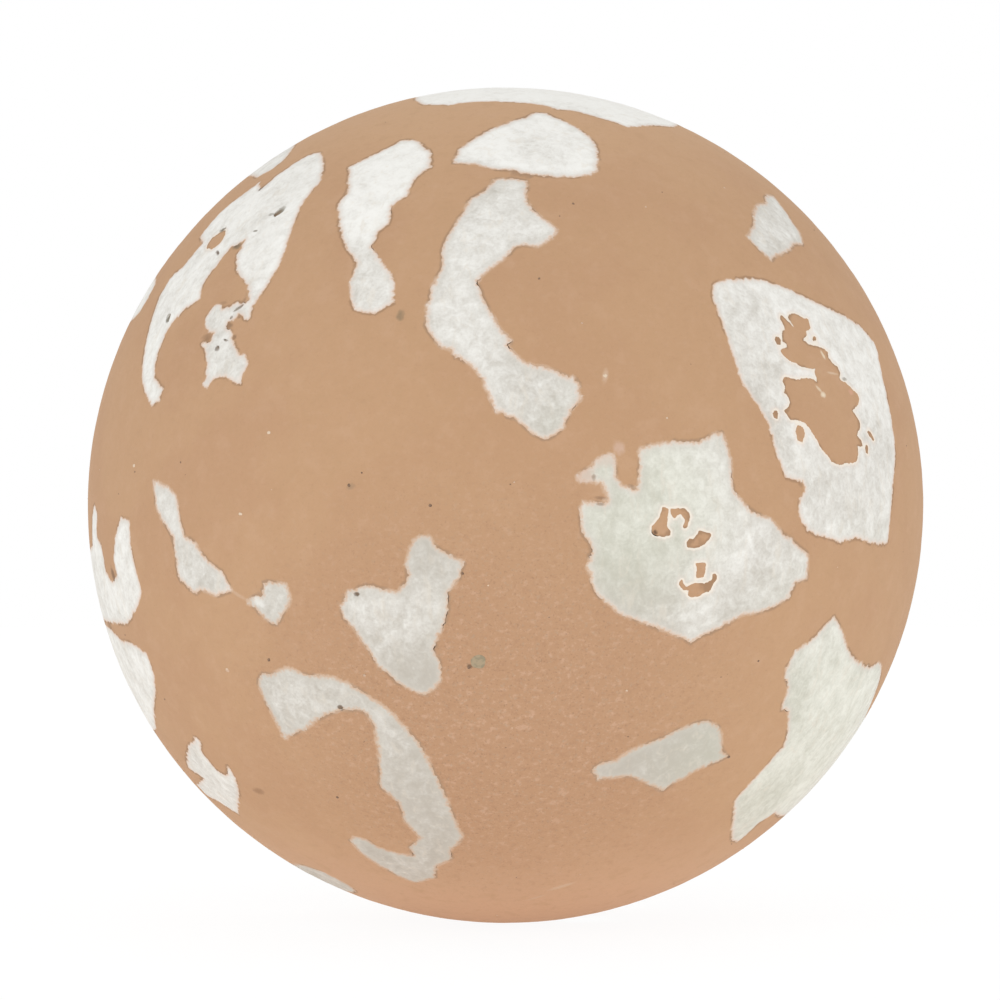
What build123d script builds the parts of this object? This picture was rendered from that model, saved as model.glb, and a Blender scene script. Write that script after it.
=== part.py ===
"""Decorative garden ball: a tan cast ball with irregular white patches lying flush in its surface.

The ball is cast in one go from two mixes. Lumps of white mix are pressed against the mould first, and the tan
mix is packed in behind them, so that each white patch is a lump, thickest in its middle, seated in a pocket of
the ball. Millimetres, +Z up, origin at the ball's centre, front towards -Y.
"""

import os
from collections import namedtuple
from math import atan2, cos, hypot, radians, sin

from build123d import *

# ---------------------------------------------------------------- driving dimensions

BALL_DIAMETER = 250.0
RADIUS = BALL_DIAMETER / 2
EDGE_DEPTH = 2.5    # thickness that a white lump keeps at the corner furthest from its middle
OVERREACH = 1.0     # how far a lump's cutter stands out beyond the ball, before it is trimmed flush

# ---------------------------------------------------------------- outlines of the patches
#
# An outline is drawn on the plane that touches the ball at the middle of its patch, x towards the east and
# y towards the north, and it is thrown onto the ball from the ball's centre. It is a list of runs. Each run
# starts at a corner and ends at the corner that starts the next run. A run of one point is a straight edge,
# and further points are where a curved edge passes.

WISHBONE = [
    [(-10, 37.5), (-6, 44)],
    [(-1, 47.5), (7.5, 41)],
    [(14.5, 31)],
    [(16, 16)],
    [(20, 0)],
    [(19.5, -10.5)],
    [(17.5, -20)],
    [(13, -18)],
    [(10, -23)],
    [(15, -26.5)],
    [(24, -34)],
    [(22, -41.5)],
    [(15, -39)],
    [(7.5, -42)],
    [(6.5, -35.5)],
    [(1, -27.5)],
    [(5, -25)],
    [(-0.5, -22)],
    [(0, -16)],
    [(5, -16.5)],
    [(14.5, -13.5)],
    [(11, -9)],
    [(2.5, -3.5)],
    [(-0.5, 6.5)],
    [(-5, 4.5)],
    [(-9.5, -8)],
    [(-7.5, -13)],
    [(-14, -16)],
    [(-19.5, -22)],
    [(-21, -32)],
    [(-19, -38)],
    [(-12.5, -42)],
    [(-13.5, -46)],
    [(-18, -47.5), (-28, -37.5), (-33, -24)],
    [(-37, -8)],
    [(-35.5, -1.5)],
    [(-29, 1.5)],
    [(-25, 9)],
    [(-31.5, 13.5)],
    [(-30, 22.5)],
    [(-18.5, 34.5)],
    [(-13, 30)],
]
WISHBONE_PIT = [[(-20, 10.5)], [(-14.5, 12)], [(-12.5, 8)], [(-15, 5.5)], [(-20, 7)]]

BOOT = [
    [(-20.5, 25)],
    [(-9, 34.5)],
    [(-7.5, 37.5)],
    [(-3.5, 37.8)],
    [(1.5, 33.5), (5.5, 28)],
    [(7, 22)],
    [(3.5, 13)],
    [(3.5, 8.5)],
    [(0, 4.5)],
    [(1, -2.5)],
    [(-1.5, -5)],
    [(-2, -11)],
    [(2, -16.5)],
    [(7.5, -23.5)],
    [(8.5, -30)],
    [(3, -34)],
    [(-3.5, -32.5)],
    [(-6.5, -25)],
    [(-6, -17)],
    [(-10, -11.5)],
    [(-14, -3.5)],
    [(-18, 7.5)],
    [(-16, 11.5)],
]

DOME = [
    [(-23.5, -9.5)],
    [(-21.5, -2.5), (-14, 5)],
    [(-4.5, 13)],
    [(0.5, 15.5)],
    [(2.5, 19.5)],
    [(5.5, 20)],
    [(9, 16.5), (16, 7)],
    [(19, -4)],
    [(18.5, -14)],
    [(13, -17.5)],
    [(4, -18.5)],
    [(-5.5, -16)],
    [(-12, -14.5)],
    [(-17, -11.5)],
]

CRESCENT = [
    [(-2, 50.5)],
    [(8.5, 50.5)],
    [(8, 40)],
    [(10.5, 35.5)],
    [(17, 29)],
    [(15.5, 25.5)],
    [(10.5, 22)],
    [(5, 22)],
    [(-6.5, 9.5)],
    [(-4.5, 3.5)],
    [(0, -4)],
    [(4, -8.5)],
    [(2.5, -10)],
    [(7, -14.5)],
    [(13.5, -16.5)],
    [(21.5, -19)],
    [(24, -25)],
    [(20.5, -29)],
    [(18, -36)],
    [(13, -37)],
    [(5, -32)],
    [(-0.5, -29.5)],
    [(-3.5, -21.5)],
    [(-10, -14)],
    [(-16.5, -9.5), (-20, -4)],
    [(-19, 8)],
    [(-16, 15.5)],
    [(-15.5, 25)],
    [(-10.5, 36)],
    [(-9.5, 40.5)],
    [(-4, 45.5)],
]

KITE = [
    [(-16.5, -4.5)],
    [(-10, -0.5)],
    [(-4, 5.5)],
    [(1, 8.5)],
    [(6, 9.5)],
    [(12, 14)],
    [(18.5, 15.5)],
    [(15, 2)],
    [(15, -1)],
    [(11, -6.5)],
    [(5, -7)],
    [(-4, -10.5)],
    [(-12, -13.5)],
    [(-15, -9)],
]

SHIELD = [
    [(-28, 38)],
    [(-25, 41.5)],
    [(-16, 42.5)],
    [(-7, 42.5), (5, 39), (17, 35)],
    [(32, 32.5)],
    [(42, 30)],
    [(49.5, 25.5)],
    [(46, 14)],
    [(45.5, -9)],
    [(41.5, -20)],
    [(38.5, -39)],
    [(28, -39)],
    [(17, -36.5)],
    [(9, -38)],
    [(-5.5, -34.5)],
    [(-9.5, -30)],
    [(-9.5, -24.5)],
    [(-6.5, -22)],
    [(-8, -20)],
    [(-14, -19)],
    [(-17, -13)],
    [(-18.5, -4)],
    [(-26, 9), (-27.5, 22)],
]
SHIELD_ISLAND = [
    [(-4, 29)],
    [(-1, 28.5)],
    [(2, 30.5)],
    [(8, 28.5)],
    [(8, 25.5)],
    [(3.5, 21.5)],
    [(11, 19.5)],
    [(11.5, 16.5)],
    [(16, 14)],
    [(15.5, 9.5)],
    [(22.5, 7)],
    [(22.5, 3)],
    [(19, 1.5)],
    [(21.5, -3)],
    [(19, -7)],
    [(17, -13.5)],
    [(8, -14.5)],
    [(4, -13)],
    [(-3, -4)],
    [(-10, -1)],
    [(-10.5, 9.5)],
    [(3.5, 10)],
    [(3.5, 12)],
    [(-3, 13.5)],
    [(-8.5, 18)],
    [(-6, 22)],
    [(-3, 25.5)],
]

BANNER = [
    [(-13, 22.5)],
    [(-6, 24)],
    [(5, 24.5)],
    [(13, 27.5)],
    [(15, 22)],
    [(15.5, 11)],
    [(22, 5)],
    [(34, -1.5)],
    [(45, -8)],
    [(45.5, -15.5)],
    [(40, -16.5)],
    [(37.5, -22)],
    [(29, -24.5)],
    [(20, -25.5)],
    [(5, -32.5)],
    [(-5, -28.5)],
    [(-18, -24)],
    [(-25, -18.5)],
    [(-28, -10.5)],
    [(-27, -6.5)],
    [(-30.5, 1)],
    [(-27.5, 8)],
    [(-23, 7.5)],
    [(-23, 11.5)],
    [(-31.5, 13)],
    [(-25.5, 19.5)],
    [(-20, 21)],
    [(-19.5, 14.5)],
    [(-16, 11)],
    [(-13.5, 11)],
]
BANNER_FLECKS = [
    [[(-6.5, 6)], [(-5, 5.5)], [(-4.5, -2)], [(-9, -1.5)], [(-9, 0.5)]],
    [[(-4, 5.2)], [(1.2, 5.5)], [(1, 0.5)], [(0, 3.5)], [(-4, 3.3)]],
    [[(4.2, -0.7)], [(8.3, -1.7)], [(4.2, -5.1)], [(1.3, -5)], [(1.5, -3.8)]],
    [
        [(0, -14.5)],
        [(4.5, -15)],
        [(4.5, -9.5)],
        [(7, -9.5)],
        [(7.5, -14.8)],
        [(9.5, -12.3)],
        [(10.5, -13.6)],
        [(9.8, -17)],
        [(3, -19)],
    ],
]

SAIL = [
    [(-13.5, 39.5)],
    [(-3.5, 31.5)],
    [(5, 25.5)],
    [(20, 21.5)],
    [(28, 22.5)],
    [(35, 18)],
    [(46, 2)],
    [(56, -9)],
    [(56, -27)],
    [(45, -44)],
    [(13, -32)],
    [(8.5, -35.5)],
    [(8, -46)],
    [(-1, -42)],
    [(-18, -24.5)],
    [(-17.5, -18)],
    [(-13, -3)],
    [(-14, 0.5)],
    [(-19, 8.5)],
    [(-23, 9)],
    [(-24, 15)],
    [(-28, 20.5)],
    [(-28, 26)],
    [(-22, 31)],
]

WEDGE = [
    [(-18.5, -5)],
    [(-16, -2.5)],
    [(-12, -1.5)],
    [(-8.5, 2.5)],
    [(0, 6.5)],
    [(5, 9.5)],
    [(13, 11.5)],
    [(17.5, 9.5)],
    [(21.5, 0.5)],
    [(24, -2.5)],
    [(12.5, -7)],
    [(5.5, -13)],
    [(-6, -7)],
    [(-16, -8.5)],
]

YOKE = [
    [(5, 21.5)],
    [(7, 23)],
    [(10, 22.5)],
    [(12, 19)],
    [(19.5, 15)],
    [(18, 11)],
    [(14.5, 6)],
    [(14, 0)],
    [(9.5, -9.5)],
    [(11.5, -15)],
    [(10, -20)],
    [(5.5, -23.5)],
    [(0, -21)],
    [(-6.5, -15)],
    [(-13, -4.5)],
    [(-16.5, 1)],
    [(-14.5, 6.5)],
    [(-8.5, 8.5)],
    [(-3, 7)],
    [(1.5, 8)],
    [(4, 11.5)],
    [(2.5, 14.5)],
]

HOOK = [
    [(-32, 31)],
    [(-30, 34)],
    [(-25.5, 35)],
    [(-20, 37.5)],
    [(-13, 35.5), (-4, 35), (4, 30)],
    [(11, 25), (17, 12.5), (19.5, -2)],
    [(20.5, -25)],
    [(15, -30.5)],
    [(14, -35)],
    [(8, -39)],
    [(5, -46.5)],
    [(-3, -51)],
    [(-7, -46.5)],
    [(-14.5, -35)],
    [(-16.5, -27)],
    [(-14, -24.5)],
    [(-9.5, -26)],
    [(-5.5, -30.5)],
    [(2.5, -33)],
    [(2.5, -28.5)],
    [(7.5, -23.5)],
    [(5, -16)],
    [(5.5, -8)],
    [(1.5, -2.5)],
    [(4.5, 11)],
    [(5, 20)],
    [(2.5, 24.5)],
    [(-3, 24.5)],
    [(-11, 21.5)],
    [(-17, 17)],
    [(-25.5, 12.5)],
]

CLEAVER = [
    [(-18, 16)],
    [(-11, 14.5)],
    [(-6, 12)],
    [(-2.5, 0)],
    [(2, -1.5)],
    [(6, -6)],
    [(12, -10)],
    [(15, -15.5)],
    [(8, -17)],
    [(2, -15)],
    [(-0.5, -16.5)],
    [(-6.5, -12.5)],
    [(-8, -0.5)],
    [(-15.5, 7.5)],
]

CHIP = [
    [(-8.5, -1)],
    [(-5, 1.2)],
    [(-3, 1)],
    [(-2, 4.5)],
    [(1, 5.2)],
    [(5, 4.5)],
    [(6.8, 0)],
    [(4, -5)],
    [(1, -7.3)],
    [(-1, -7)],
]

FORK = [
    [(8.5, 16.5)],
    [(15, 15.5)],
    [(15, 7)],
    [(18, -5.5)],
    [(11, -11)],
    [(2, -15.2)],
    [(-20, -15)],
    [(-42, -16.5)],
    [(-51, -9)],
    [(-46, 6)],
    [(-35, 6)],
    [(-26, 8)],
    [(-22.5, 17)],
    [(-18, 20)],
    [(-14, 17.5)],
    [(-16, 10.5)],
    [(-10.5, 8)],
    [(-9, 0.5)],
    [(-5, -2.5)],
    [(0, -2)],
    [(1.5, 0)],
    [(0, 3)],
    [(3, 10)],
]

BLADE = [
    [(22.5, 10.5)],
    [(22, 4.5)],
    [(17, -1.5)],
    [(10, -6)],
    [(-6, -15)],
    [(-20, -17)],
    [(-34, -14)],
    [(-43, -4)],
    [(-42, 10)],
    [(-24, 18.5), (-8, 17.5)],
    [(4, 14.5)],
    [(12, 14)],
]

CLAW = [
    [(6.5, 17)],
    [(9, 15.5)],
    [(5, 11.5)],
    [(7, 5)],
    [(10, 3.5)],
    [(15.5, 7.5)],
    [(14.5, 2)],
    [(9, -4.5)],
    [(-5, -14)],
    [(-13, -9.5)],
    [(-24, -9.5)],
    [(-26, -5)],
    [(-8, 0.7)],
    [(-17, 3.5)],
    [(-8, 10)],
    [(-2, 13.5)],
]

PEBBLE = [
    [(7, 1)],
    [(4, 7)],
    [(-3, 9.5)],
    [(-14, 7)],
    [(-26, 2)],
    [(-32, -9)],
    [(-22, -17)],
    [(-12, -11)],
    [(-3, -9.5)],
    [(4, -6)],
]

CAP = [
    [(-30, -4.5)],
    [(-31, 8)],
    [(-27, 27)],
    [(-10, 30)],
    [(14, 35)],
    [(38, 29)],
    [(53, 8)],
    [(48, -8)],
    [(37.5, -20)],
    [(29.5, -27.5)],
    [(20, -23.5)],
    [(8.5, -20.5)],
    [(0, -16)],
    [(-17.5, -11)],
    [(-23, -11.5)],
]

TONGUE = [
    [(6.5, -2.5)],
    [(5, 3.5)],
    [(-1, 8.5)],
    [(-14, 15.5)],
    [(-27, 18)],
    [(-36, 9)],
    [(-33, -3)],
    [(-19, -2)],
    [(1.5, -6.5)],
]

SPOT = [
    [(-1.5, -2)],
    [(-3.5, 3)],
    [(-10, 5.5)],
    [(-22, 8.5)],
    [(-33, 5)],
    [(-33, -6)],
    [(-22, -8.5)],
    [(-10, -8.5)],
    [(-3, -6)],
]

# ---------------------------------------------------------------- where the patches lie
#
# Longitude runs from the front, -Y, towards the east, +X, and latitude up from the ball's waist, in degrees.
# An outline that is used again is turned, resized or flipped over.

Patch = namedtuple("Patch", "outline lon lat turn size flip islands", defaults=(0, 1.0, False, ()))

FRONT_PATCHES = [
    Patch(CAP, 8, 76),
    Patch(TONGUE, -66, 53),
    Patch(SPOT, -73, 30),
    Patch(WISHBONE, -48, 34, islands=(WISHBONE_PIT,)),
    Patch(BOOT, -20, 40),
    Patch(DOME, 6, 56),
    Patch(CRESCENT, -1, 25),
    Patch(KITE, 53, 40),
    Patch(SHIELD, 45, 12, islands=(SHIELD_ISLAND,)),
    Patch(BANNER, 23, -3, islands=tuple(BANNER_FLECKS)),
    Patch(SAIL, 56, -32),
    Patch(WEDGE, 24, -34),
    Patch(YOKE, -14, -14),
    Patch(HOOK, -22, -38),
    Patch(CLEAVER, -45, -4),
    Patch(CHIP, -32, -12),
    Patch(FORK, -66, -9),
    Patch(BLADE, -72, -25),
    Patch(CLAW, -61, -40),
    Patch(PEBBLE, -60, -62),
]

BACK_PATCHES = [
    Patch(DOME, 98, 54, turn=75),
    Patch(YOKE, 95, 22, turn=200, size=1.1),
    Patch(CLEAVER, 98, -6, turn=100, size=1.1),
    Patch(CRESCENT, 128, 12, turn=160),
    Patch(KITE, 140, 50, turn=120, size=1.2),
    Patch(WEDGE, 118, -35, turn=60, flip=True, size=1.4),
    Patch(BOOT, 180, 45, turn=110, flip=True),
    Patch(SAIL, 157, -17, turn=30, flip=True, size=0.75),
    Patch(WEDGE, 199, 3, turn=240, size=1.1),
    Patch(YOKE, 206, -32, turn=20, size=1.2),
    Patch(DOME, 222, 28, turn=300, flip=True),
    Patch(CLEAVER, 238, -20, turn=120, flip=True, size=1.2),
    Patch(CLAW, 225, 62, turn=200, size=1.2),
    Patch(KITE, 250, 4, turn=45, flip=True),
    Patch(PEBBLE, 138, -60, turn=160, size=1.3),
    Patch(WEDGE, 236, -54, turn=20, size=1.2),
    Patch(CHIP, 104, -79, turn=200, size=1.6),
]


def touching_plane(lon, lat, turn, distance):
    """Plane square to the ball's radius at a longitude and latitude, its x axis turned from the east."""
    outward = Vector(sin(radians(lon)) * cos(radians(lat)), -cos(radians(lon)) * cos(radians(lat)), sin(radians(lat)))
    east = Vector(cos(radians(lon)), sin(radians(lon)), 0)
    return Plane(origin=outward * distance, x_dir=east.rotate(Axis((0, 0, 0), outward), turn), z_dir=outward)


def outline_face(outline, size, flip):
    """Flat face inside an outline, straight and curved edges joined at its corners."""
    across = -size if flip else size
    runs = [[(x * across, y * size) for x, y in run] for run in outline]
    edges = []
    for run, next_run in zip(runs, runs[1:] + runs[:1]):
        points = run + next_run[:1]
        edges.append(Line(*points) if len(points) == 2 else Spline(*points))
    return make_face(edges)


def cone_through(outline, patch, floor):
    """Solid that narrows towards the ball's centre, from just beyond the ball down to a flat floor."""
    face = outline_face(outline, patch.size, patch.flip)
    ends = []
    for distance in (floor, RADIUS + OVERREACH):
        plane = touching_plane(patch.lon, patch.lat, patch.turn, distance)
        ends.append(plane * scale(face, by=distance / RADIUS))
    return loft(ends, ruled=True)


def white_lump(patch):
    """Cutter for one patch, with the tan islands that stand in it left out."""
    reach = max(hypot(x, y) for run in patch.outline for x, y in run) * patch.size
    floor = RADIUS * cos(atan2(reach, RADIUS)) - EDGE_DEPTH
    lump = cone_through(patch.outline, patch, floor)
    for island in patch.islands:
        lump -= cone_through(island, patch, floor)
    return lump


def main():
    os.makedirs("parts", exist_ok=True)
    # The sphere's poles lie front and back and its seam under the ball, in plain tan.
    sphere = Plane(origin=(0, 0, 0), x_dir=(0, 0, -1), z_dir=(0, 1, 0)) * Sphere(RADIUS)
    lumps = [white_lump(patch) for patch in FRONT_PATCHES + BACK_PATCHES]
    white_patches = Compound(children=[solid for lump in lumps for solid in (sphere & lump).solids()])
    ball = sphere - lumps
    export_step(ball, "parts/ball.step")
    export_step(white_patches, "parts/white_patches.step")


main()
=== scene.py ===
"""A garden ball of tan cement mix: its skin, the white patches cast into it, its grit and its finishes."""

from collections import namedtuple
from math import ceil, cos, hypot, radians, sin
from random import Random

import bpy
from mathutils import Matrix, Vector, noise
from mathutils.kdtree import KDTree


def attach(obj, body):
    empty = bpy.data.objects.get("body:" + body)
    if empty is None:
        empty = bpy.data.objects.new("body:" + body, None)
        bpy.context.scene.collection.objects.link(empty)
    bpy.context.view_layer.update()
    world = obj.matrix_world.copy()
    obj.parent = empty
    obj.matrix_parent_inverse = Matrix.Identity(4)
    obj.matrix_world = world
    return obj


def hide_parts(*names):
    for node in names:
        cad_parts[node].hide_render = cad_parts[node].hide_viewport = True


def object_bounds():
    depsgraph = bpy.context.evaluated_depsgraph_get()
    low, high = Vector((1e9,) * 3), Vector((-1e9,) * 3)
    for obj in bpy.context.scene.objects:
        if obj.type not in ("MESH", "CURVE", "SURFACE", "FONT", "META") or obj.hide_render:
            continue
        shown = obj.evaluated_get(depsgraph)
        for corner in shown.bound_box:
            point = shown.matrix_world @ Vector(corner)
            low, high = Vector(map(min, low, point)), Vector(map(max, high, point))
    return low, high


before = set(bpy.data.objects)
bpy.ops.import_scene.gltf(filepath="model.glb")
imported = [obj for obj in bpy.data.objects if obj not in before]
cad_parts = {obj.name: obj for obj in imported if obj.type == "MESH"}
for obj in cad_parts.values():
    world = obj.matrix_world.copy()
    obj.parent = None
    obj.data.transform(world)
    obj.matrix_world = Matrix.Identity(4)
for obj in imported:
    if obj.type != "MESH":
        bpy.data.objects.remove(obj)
cad_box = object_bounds()

MM = 0.001
RADIUS = round(max(cad_box[1]) / MM, 1)  # of the ball, in millimetres, as are the outlines below

# Outlines of the white patches, drawn flat on the plane that touches the ball at the middle of the patch:
# x to the right, y upwards. An outline is a ring of runs. A run of one point is a straight edge to the next
# run, and a run of more is a curve through them to the next run's first point.
WISHBONE = [
    [(-10, 37.5), (-6, 45), (-1, 47.5), (7.5, 41)], [(14.5, 31), (14, 24), (15, 18), (20, 0)], [(19.8, -8)],
    [(18.2, -14)], [(17.9, -17.5), (17.6, -20.3)], [(14.5, -19.3)], [(12.9, -18.4)],
    [(12.8, -20), (11.5, -21.2)], [(9.9, -21.4)], [(9.4, -22.9)], [(11.8, -23.2), (13.4, -24.8)],
    [(13.4, -26.3)], [(16, -28.2), (17.8, -30.2)], [(21.5, -31.5), (23.8, -34.5), (22.9, -37.8)],
    [(23.2, -41.6)], [(19, -40), (14.8, -38.9), (12, -39.4)], [(9.3, -42.6)], [(6.3, -41.2)],
    [(7.6, -38.8)], [(6.5, -35)], [(4, -30.5), (1, -27.9)], [(4.8, -27.2)], [(5.4, -24.6)],
    [(2.5, -24.5), (-0.4, -22.2), (-1, -19)], [(0.2, -16.2), (2, -15.1), (4, -15.5)], [(5.2, -16.8)],
    [(8, -16.2), (10.2, -14.6)], [(12.3, -15)], [(14.8, -14), (12.2, -10.2), (8.5, -7.2), (4.6, -5)],
    [(0, 0.5)], [(-0.5, 6.5)], [(-5, 4.5)], [(-9.5, -8)], [(-7.5, -13)], [(-14, -16)],
    [(-19.5, -22), (-21, -32)], [(-19, -38)], [(-12.5, -42)], [(-13.5, -46)],
    [(-18, -47.5), (-28, -37.5), (-33, -24)], [(-37, -8)], [(-35.5, -1.5)], [(-29, 1.5)], [(-25, 9)],
    [(-31.5, 13.5)], [(-30, 22.5)], [(-18.5, 34.5)], [(-13, 30)],
]
WISHBONE_ISLAND = [
    [(-20, 10.5), (-14.5, 12), (-12.5, 8), (-15, 5.5), (-20, 7)],
]
BOOT = [
    [(-20.5, 25), (-14.5, 29.5)], [(-9, 34.5)], [(-7.5, 37.5), (-3.5, 37.5), (0.5, 35)], [(2, 32), (5, 29)],
    [(7, 22), (4, 16)], [(3.5, 8.5)], [(0, 4.5)], [(1, -2.5)], [(-1.5, -5)],
    [(-2, -11), (2, -16.5), (6.5, -21.5)], [(8.5, -30)], [(3, -34)], [(-3.5, -32.5), (-6.5, -25)],
    [(-5.5, -17), (-7, -14.5)], [(-10, -11.5), (-14, -3.5)], [(-18, 7.5)], [(-16, 11.5)],
]
DOME = [
    [(-23.5, -9.5)], [(-21.5, -2.5), (-14, 5)], [(-4.5, 13)], [(-0.5, 15), (2, 19), (5, 20)],
    [(8.5, 17), (14.5, 10), (18.5, 2), (19, -5)], [(18, -11)], [(18.5, -14), (14.5, -17), (5, -18.5)],
    [(-4.5, -17)], [(-6, -15.5), (-12, -14.5)], [(-17, -11.5)],
]
CRESCENT = [
    [(-2, 50.5), (3, 51)], [(8.5, 50)], [(8, 40)], [(10.5, 35.5)], [(17, 29)], [(15.5, 25.5)],
    [(11, 22), (5.5, 22), (2.5, 18.5)], [(-6, 10), (-3.5, 3), (0.5, -4.5)], [(4, -8.5)],
    [(2.5, -10), (7, -14.5), (14, -16.5)], [(21.5, -19)], [(24, -25)], [(20.5, -29)],
    [(18.5, -35), (13, -37.5), (5, -32)], [(-0.5, -29.5), (-3, -24)], [(-4, -20.5), (-10, -14)],
    [(-16.5, -9.5), (-20, -4)], [(-19, 8)], [(-16, 15.5), (-16, 23)], [(-10.5, 36)], [(-9.5, 40.5)],
    [(-4, 45.5)],
]
KITE = [
    [(-16.5, -4.5)], [(-10, -0.5), (-4, 5.5)], [(1, 8.5)], [(6, 9.5), (12, 14)], [(18.5, 15.5)], [(15, 2)],
    [(15, -1)], [(11, -6.5)], [(5, -7)], [(0.5, -9.5)], [(-4, -10.5)], [(-12, -13.5)], [(-15, -9)],
]
SHIELD = [
    [(-28, 38), (-25, 41.5), (-16, 42.5)], [(-7, 42.5), (5, 39), (17, 35)], [(32, 32.5), (42, 30)],
    [(49.5, 25.5), (46, 14), (45.5, 1)], [(45.5, -10), (41.5, -20)], [(38.5, -39), (27, -38.5)],
    [(17, -36.5)], [(9, -38)], [(-6.5, -34), (-9.5, -29)], [(-9.5, -24.5)], [(-6.5, -22)], [(-8, -20)],
    [(-14.5, -18.5), (-17, -12)], [(-19, -2.5)], [(-26, 9), (-27.5, 22)],
]
SHIELD_ISLAND = [
    [(-4, 24.7), (-3.9, 26.5), (-4.1, 28.5), (-3.5, 29.5)], [(-2.8, 29.2)], [(0.2, 25.6)], [(-0.6, 29)],
    [(0.3, 30), (2.2, 30.5), (4.3, 29.7)], [(5.8, 29), (7.9, 28.9)], [(8.3, 27.3), (7.8, 25.6), (6.3, 25)],
    [(5, 24.8), (4.6, 23.2), (3, 22)], [(2, 21.5)], [(4.5, 20.5), (8, 20), (10.5, 19.6)], [(12.7, 18.5)],
    [(12.2, 16.6)], [(13.5, 15.3), (15.5, 14.2), (16.2, 12.5), (15.4, 10.8)],
    [(16, 9.9), (18.5, 9.2), (20.5, 8)], [(23.2, 6.4), (23.7, 5), (22.2, 3)], [(20.3, 2.1)], [(18.8, 1.2)],
    [(20.2, -0.2), (21.6, -2.2), (21.5, -3.8)], [(20, -4.8)], [(19.1, -6.2)], [(21.3, -7.6), (21.7, -9)],
    [(20.6, -9.5)], [(18.9, -9)], [(18.6, -11.5), (17.5, -13.8)], [(12, -14.2)], [(9, -15)],
    [(7, -14.4), (4.8, -13.7), (3.3, -11.9)], [(1, -10.2), (-0.8, -7.6), (-2.4, -5.2)],
    [(-4.3, -3.3), (-6.5, -2.4)], [(-10, -2.1)], [(-11.2, -0.6)], [(-12, 0.5)],
    [(-9.9, 1.5), (-9.2, 3.3), (-10, 4.9)], [(-11, 5.6)], [(-10.1, 6.8)],
    [(-10.4, 8.9), (-9.2, 10.1), (-6.8, 10)], [(-5, 9.3), (-2.5, 9.7), (0.5, 10.1), (2.8, 9.5)],
    [(3.8, 8.8)], [(4.1, 10.2), (3.7, 11.5)], [(4.6, 13)],
    [(1.5, 13), (-0.6, 13.3), (-2.3, 13.7), (-3.2, 14.4)], [(-5, 14.8), (-7.3, 16.4), (-8.2, 18)],
    [(-7.5, 18.8)], [(-5.4, 19.2)], [(-5.2, 20.2)], [(-6.4, 21)], [(-6, 22.8), (-5.2, 24.1)],
]
BANNER = [
    [(-13, 22.5), (-6, 24)], [(5, 24.5)], [(13, 27.5), (15, 22)], [(15.5, 11)], [(22, 5), (29, 2.5)],
    [(34, -1.5)], [(45, -8)], [(45.5, -15.5)], [(40, -16.5)], [(38.5, -21), (30, -24)], [(20, -25.5)],
    [(5, -32.5), (-5, -28.5)], [(-18, -24)], [(-25, -18.5)], [(-28, -10.5)], [(-27, -6.5)],
    [(-30, 0), (-30.5, 5)], [(-29.8, 7.8)], [(-26.5, 7.6)], [(-22.7, 7.6)], [(-22.5, 10.2)],
    [(-24, 11.2), (-25.2, 12.5), (-27, 13)], [(-29.5, 12.6), (-31.4, 13.2), (-31.3, 14.8)],
    [(-29, 16.6), (-26.8, 17.6)], [(-25.8, 19.8), (-23.5, 20.8), (-20.6, 21.2)], [(-19.9, 19)], [(-20, 14.2)],
    [(-17.5, 12), (-15.6, 10.8)], [(-14, 10.9)], [(-13.5, 13)], [(-13.4, 19)],
]
FLECK_A = [
    [(-6.5, 6), (-5, 5.5), (-5, 1), (-4, -1.5), (-6.5, -2), (-9, -1.5), (-9.5, 0.5), (-7.5, 3)],
]
FLECK_B = [
    [(-4, 5.5), (0.5, 5.5), (1.5, 4.5), (1, 0.5), (0, 0.5), (0, 3), (-1.5, 4), (-3, 3), (-4, 4)],
]
FLECK_C = [
    [(4.5, -0.5), (8.5, -1.5), (7.5, -3), (4.5, -5), (1.5, -5), (1, -3.5), (3, -2.5)],
]
FLECK_D = [
    [(4, -9.5), (7, -9.5), (7, -11.5), (6.5, -13.5), (4.5, -13.5), (4.5, -11.5)],
]
FLECK_E = [
    [
        (0, -14), (1.5, -16), (4, -15), (7.5, -15), (9.5, -14), (9.5, -12.5), (10.5, -12.5), (11, -14),
        (9.5, -16), (9.5, -17), (7, -18), (4.5, -19), (2.5, -18.5), (2.5, -17), (1, -17), (-0.5, -15),
    ],
]
SAIL = [
    [(-13.5, 39.5), (-8, 35.5)], [(-1, 29), (5, 25.5)], [(20, 21.5)], [(27, 22.5), (33, 20)],
    [(46, 2), (57, -8), (56, -24)], [(45, -44)], [(13, -32)], [(8.5, -35.5)], [(8, -46), (-1, -42)],
    [(-18, -24.5), (-17.5, -18)], [(-13, -3)], [(-14, 0.5)], [(-19, 8.5)], [(-23, 9)],
    [(-24, 16), (-28.5, 21)], [(-27, 28)], [(-22, 31)],
]
WEDGE = [
    [(-18.5, -5), (-16, -2.5)], [(-12, -1.5)], [(-8.5, 2.5)], [(0, 6.5), (5, 9.5)], [(13, 11.5), (17.5, 9)],
    [(21.5, 0.5)], [(24, -2.5)], [(12.5, -7)], [(5.5, -13)], [(-6, -7)], [(-16, -8.5)],
]
YOKE = [
    [(5, 21.5), (7, 22.5)], [(10, 22.5)], [(12, 19)], [(19.5, 15)], [(18, 11)], [(14.5, 6), (14, 1)],
    [(9.5, -9.5)], [(11.5, -15), (10, -20)], [(6, -23.5), (1, -21.5)], [(-6.5, -15)],
    [(-13, -4.5), (-16.5, 1)], [(-14.5, 7), (-7, 8.5)], [(-4, 7.5), (0.5, 7.5)], [(4, 11.5)], [(2.5, 14.5)],
]
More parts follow.
